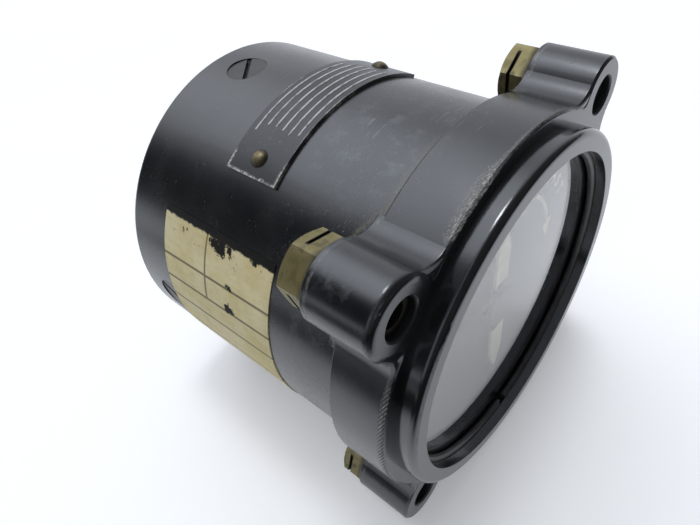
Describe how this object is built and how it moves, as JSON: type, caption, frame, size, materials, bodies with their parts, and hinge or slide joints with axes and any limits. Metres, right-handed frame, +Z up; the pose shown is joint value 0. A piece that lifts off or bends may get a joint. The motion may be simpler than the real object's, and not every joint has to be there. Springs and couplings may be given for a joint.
{
  "type": "aircraft synchroscope",
  "caption": "Round black-cased panel instrument with a freely turning pointer under glass, drilled mounting ears backed by slotted brass nuts, and a keyed pin connector at the rear.",
  "frame": {"origin": "centre of the flange's front face, where it meets the panel, on the case's axis", "axes": "-Y out of the dial towards the viewer, +Y along the case towards the rear connector, +Z up on the dial, +X to the right of the dial"},
  "size_m": [0.0608, 0.0694, 0.0608],
  "materials": {
    "moulded_case": "worn black moulding, rubbed brown-grey at its edges",
    "brass_fixing": "dull olive brass",
    "clear_glass": "clear, lightly scratched",
    "rubber_seal": "matt",
    "black_spring_steel": "black oxide, satin",
    "dial_black": "matt black paint",
    "black_steel": "black paint, rubbed",
    "plate_black": "black, with chipped edges",
    "label_paper": "ruled cream paper, aged",
    "plate_aluminium": "machined, satin",
    "bright_steel": "satin",
    "spacer_brass": "turned",
    "core_steel": "stacked laminations",
    "varnished_copper": "varnished copper wire",
    "bearing_steel": "ground",
    "brown_insulator": "brown phenolic",
    "slip_ring_alloy": "polished track",
    "spring_bronze": "bright",
    "cream_paint": "aged cream luminous paint",
    "black_insulator": "matt"
  },
  "bodies": {
    "instrument": {"case_shell": "moulded_case", "mounting_nuts": "brass_fixing", "cover_glass": "clear_glass", "glass_gasket": "rubber_seal", "snap_ring": "black_spring_steel", "dial_plate": "dial_black", "dial_screws": "black_steel", "data_plate": "plate_black", "plate_rivets": "brass_fixing", "paper_label": "label_paper", "front_plate": "plate_aluminium", "rear_plate": "plate_aluminium", "frame_bolts": "bright_steel", "front_spacers": "spacer_brass", "rear_spacers": "spacer_brass", "stator_core": "core_steel", "stator_winding": "varnished_copper", "front_bearing_outer": "bearing_steel", "front_bearing_balls": "bearing_steel", "rear_bearing_outer": "bearing_steel", "rear_bearing_balls": "bearing_steel", "brush_block": "brown_insulator", "brush_leaves": "spring_bronze", "brush_block_screws": "bright_steel", "rear_cover": "moulded_case", "rear_cover_screws": "black_steel", "connector_shell": "plate_aluminium", "connector_gasket": "rubber_seal", "connector_insert": "black_insulator", "connector_pins": "spring_bronze", "connector_screws": "bright_steel"},
    "rotor": {"rotor_shaft": "bright_steel", "rotor_core": "core_steel", "rotor_winding": "varnished_copper", "front_bearing_inner": "bearing_steel", "rear_bearing_inner": "bearing_steel", "slip_ring_sleeve": "brown_insulator", "slip_rings": "slip_ring_alloy", "shaft_collar": "spacer_brass", "pointer": "cream_paint", "pointer_hub": "dial_black"}
  },
  "joints": [
    {"name": "rotor_spin", "type": "hinge", "parent": "instrument", "child": "rotor", "pos_m": [0, 0, 0], "axis": [0, 1, 0], "continuous": true}
  ]
}
